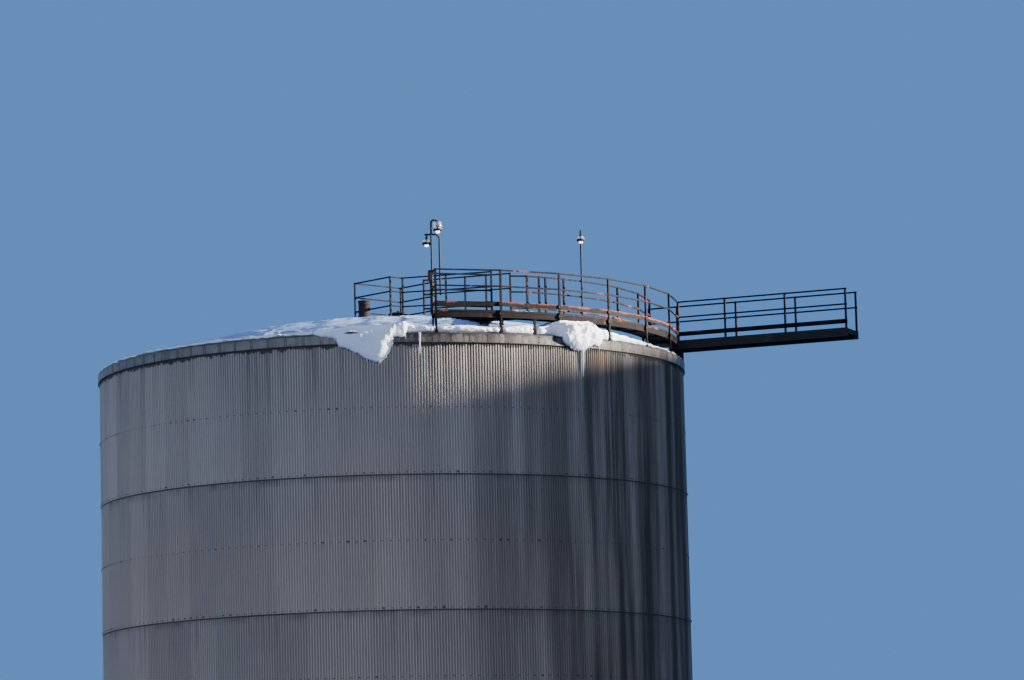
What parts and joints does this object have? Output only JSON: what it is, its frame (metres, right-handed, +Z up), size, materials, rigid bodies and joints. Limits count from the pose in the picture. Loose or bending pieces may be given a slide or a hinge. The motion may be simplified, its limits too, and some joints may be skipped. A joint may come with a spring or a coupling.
{
  "type": "vertical storage tank",
  "caption": "Upright cylindrical storage tank with ribbed sheet cladding, a low domed roof under snow, a railed roof walkway, lamps and a short link bridge.",
  "frame": {"origin": "centre of the base pad's underside, on the tank's axis", "axes": "+Z up along the tank's axis; +X is the direction in which the link bridge leaves the roof walkway"},
  "size_m": [21.14, 16.68, 20.7796],
  "materials": {
    "sheeting": "weathered, dull",
    "concrete": "rough",
    "plate_steel": "matt",
    "eave_metal": "weathered",
    "walkway_steel": "rusty, matt",
    "rail_paint": "worn red-brown paint",
    "rusty_steel": "rusty",
    "dark_fittings": "matt",
    "lamp_shade": "satin",
    "snow": "soft, matt"
  },
  "bodies": {
    "root": {"wall_segment_1": "sheeting", "wall_segment_2": "sheeting", "wall_segment_3": "sheeting", "wall_segment_4": "sheeting", "wall_segment_5": "sheeting", "wall_segment_6": "sheeting", "base_pad": "concrete", "tank_floor": "plate_steel", "eave_band": "eave_metal", "roof_dome": "plate_steel", "ring_deck_1": "walkway_steel", "ring_deck_2": "walkway_steel", "ring_deck_3": "walkway_steel", "bridge_girder_near": "walkway_steel", "bridge_girder_far": "walkway_steel", "bridge_deck": "walkway_steel", "bridge_seat_near": "walkway_steel", "bridge_seat_far": "walkway_steel", "crown_deck": "walkway_steel", "gangway_deck": "walkway_steel", "outer_rail_1": "rail_paint", "outer_rail_2": "rail_paint", "outer_rail_3": "rail_paint", "inner_rail_end": "rail_paint", "inner_rail_1": "rail_paint", "inner_rail_2": "rail_paint", "bridge_rail_near": "rail_paint", "bridge_rail_far": "rail_paint", "crown_rail_1": "rail_paint", "crown_rail_2": "rail_paint", "crown_rail_3": "rail_paint", "gangway_rail_left": "rail_paint", "gangway_rail_right": "rail_paint", "vent_stub": "rusty_steel", "roof_hatch": "dark_fittings", "junction_box": "dark_fittings", "lamp_pole_end": "dark_fittings", "lamp_head_end": "lamp_shade", "lamp_pole_rail": "dark_fittings", "lamp_head_rail": "lamp_shade", "lamp_pole_walk": "dark_fittings", "lamp_head_walk": "lamp_shade", "snow_cover": "snow", "snow_overhang_left": "snow", "snow_overhang_right": "snow"}
  },
  "joints": []
}
